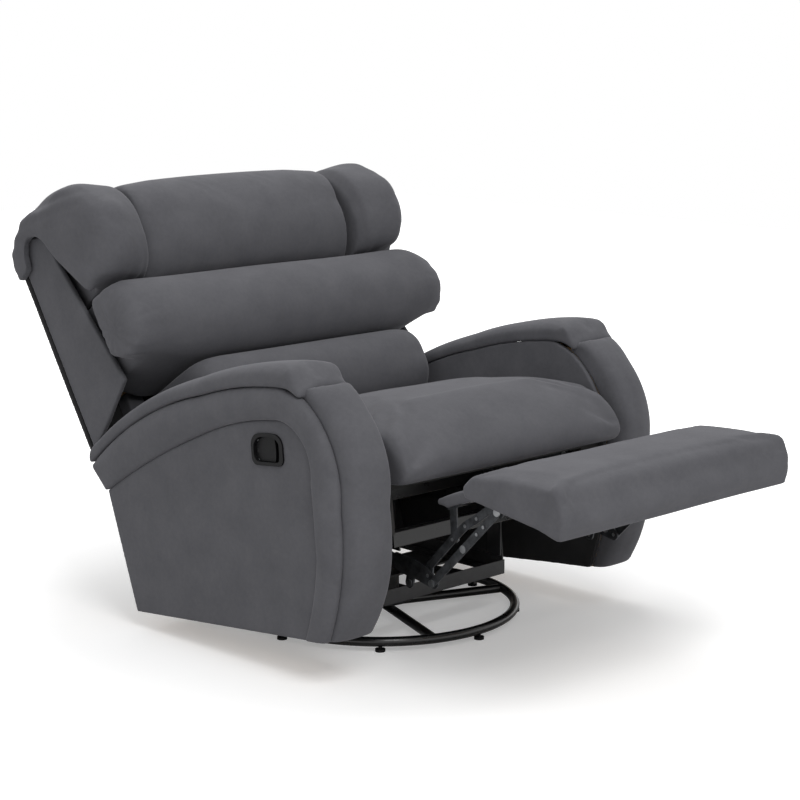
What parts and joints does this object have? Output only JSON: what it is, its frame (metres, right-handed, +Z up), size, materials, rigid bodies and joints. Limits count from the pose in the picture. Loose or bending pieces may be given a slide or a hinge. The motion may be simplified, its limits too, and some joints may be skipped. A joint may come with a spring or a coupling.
{
  "type": "swivel glider recliner",
  "caption": "Padded recliner with a roll back, curved padded arms, a fold-out footrest on steel links, and a glider frame that turns on a round floor ring.",
  "frame": {"origin": "on the floor at the swivel axis", "axes": "+Z up, the chair faces -Y, +X is the sitter's left; the footrest is shown open and the back half way down"},
  "size_m": [0.956, 1.6185, 0.96],
  "materials": {
    "microsuede": "dark grey microsuede over foam",
    "dust_cover": "black woven dust cover",
    "powder_coat": "black gloss powder coat",
    "frame_steel": "dark grey powder coat",
    "zinc_steel": "zinc plated gunmetal",
    "bolt_zinc": "bright zinc",
    "spring_wire": "drawn spring wire",
    "black_plastic": "satin black",
    "plywood": "raw plywood",
    "black_wood": "softwood stained black"
  },
  "bodies": {
    "base": {"base_ring": "powder_coat", "base_cross_bars": "powder_coat", "floor_glides": "black_plastic", "hub_plate": "powder_coat", "bearing_lower_race": "zinc_steel", "bearing_balls": "bolt_zinc", "swivel_pin": "bolt_zinc"},
    "glider_frame": {"bearing_upper_race": "zinc_steel", "swivel_column": "powder_coat", "glider_centre_plate": "frame_steel", "glider_side_rails": "frame_steel", "glider_end_rails": "frame_steel", "glider_posts": "frame_steel", "glide_pins_upper": "bolt_zinc"},
    "front_links": {"glide_links_front": "zinc_steel"},
    "rear_links": {"glide_links_rear": "zinc_steel"},
    "chair": {"glide_pins_lower": "bolt_zinc", "carriage_plates": "powder_coat", "carriage_tubes": "powder_coat", "linkage_mount_plates": "zinc_steel", "carrier_pivots": "bolt_zinc", "seat_side_boards": "black_wood", "seat_rails": "black_wood", "seat_springs": "spring_wire", "seat_cushion": "microsuede", "rear_panel": "dust_cover", "release_cup": "black_plastic", "paddle_pin": "bolt_zinc", "back_hinge_plates": "zinc_steel", "arm_inner_panels": "microsuede", "arm_borders": "microsuede", "arm_front_pads": "microsuede", "arm_caps": "microsuede", "arm_frame_left": "plywood", "arm_frame_right": "plywood", "arm_side_panel_left": "microsuede", "arm_side_panel_right": "microsuede"},
    "paddle": {"release_paddle": "black_plastic"},
    "backrest": {"back_frame": "plywood", "back_cover": "dust_cover", "lumbar_roll": "microsuede", "middle_roll": "microsuede", "head_pillow": "microsuede", "back_brackets": "zinc_steel", "back_side_panels": "microsuede", "wing_pillows": "microsuede"},
    "carriers": {"carrier_plates": "zinc_steel", "carrier_pins": "bolt_zinc"},
    "long_links_outer": {"outer_links": "zinc_steel", "outer_link_rivets": "bolt_zinc"},
    "long_links_inner": {"inner_links": "zinc_steel", "inner_link_pins": "bolt_zinc"},
    "footrest": {"footrest_board": "plywood", "footrest_cushion": "microsuede", "footrest_brackets": "zinc_steel", "footrest_pins": "bolt_zinc"},
    "flap": {"flap_board": "microsuede", "flap_strips": "zinc_steel"}
  },
  "joints": [
    {"name": "swivel", "type": "hinge", "parent": "base", "child": "glider_frame", "pos_m": [0, 0, 0.039], "axis": [0, 0, 1], "continuous": true},
    {"name": "glide_front", "type": "hinge", "parent": "glider_frame", "child": "front_links", "pos_m": [0, -0.17, 0.236], "axis": [1, 0, 0], "range_deg": [-22, 22]},
    {"name": "glide_rear", "type": "hinge", "parent": "glider_frame", "child": "rear_links", "pos_m": [0, 0.17, 0.236], "axis": [1, 0, 0], "range_deg": [-22, 22]},
    {"name": "carriage", "type": "hinge", "parent": "front_links", "child": "chair", "pos_m": [0, -0.17, 0.126], "axis": [1, 0, 0], "range_deg": [-22, 22]},
    {"name": "backrest", "type": "hinge", "parent": "chair", "child": "backrest", "pos_m": [0, 0.36115, 0.28399], "axis": [1, 0, 0], "range_deg": [-20, 10]},
    {"name": "release", "type": "hinge", "parent": "chair", "child": "paddle", "pos_m": [-0.464, -0.12812, 0.46436], "axis": [0, 0.1011, 0.9949], "range_deg": [-25, 0], "stiffness_Nm_per_rad": 0.4, "springref_deg": 17.19},
    {"name": "footrest", "type": "hinge", "parent": "chair", "child": "carriers", "pos_m": [0, -0.29789, 0.3644], "axis": [1, 0, 0], "range_deg": [0, 90.3]},
    {"name": "outer_link_foot", "type": "hinge", "parent": "carriers", "child": "long_links_outer", "pos_m": [0, -0.44294, 0.20896], "axis": [1, 0, 0], "range_deg": [-79.11, 0]},
    {"name": "inner_link_foot", "type": "hinge", "parent": "carriers", "child": "long_links_inner", "pos_m": [0, -0.42578, 0.22059], "axis": [1, 0, 0], "range_deg": [-80.91, 0]},
    {"name": "footrest_tilt", "type": "hinge", "parent": "long_links_outer", "child": "footrest", "pos_m": [0, -0.61996, 0.38596], "axis": [1, 0, 0], "range_deg": [0, 73.01]},
    {"name": "flap_tilt", "type": "hinge", "parent": "long_links_inner", "child": "flap", "pos_m": [0, -0.48895, 0.30621], "axis": [1, 0, 0], "range_deg": [0, 80.61]}
  ],
  "couplings": [
    {"joint": "glide_rear", "follows": "glide_front", "ratio": 1},
    {"joint": "carriage", "follows": "glide_front", "ratio": -1},
    {"joint": "outer_link_foot", "follows": "footrest", "ratio": -0.87597},
    {"joint": "inner_link_foot", "follows": "footrest", "ratio": -0.8959},
    {"joint": "footrest_tilt", "follows": "footrest", "ratio": 0.80842},
    {"joint": "flap_tilt", "follows": "footrest", "ratio": 0.89258}
  ]
}
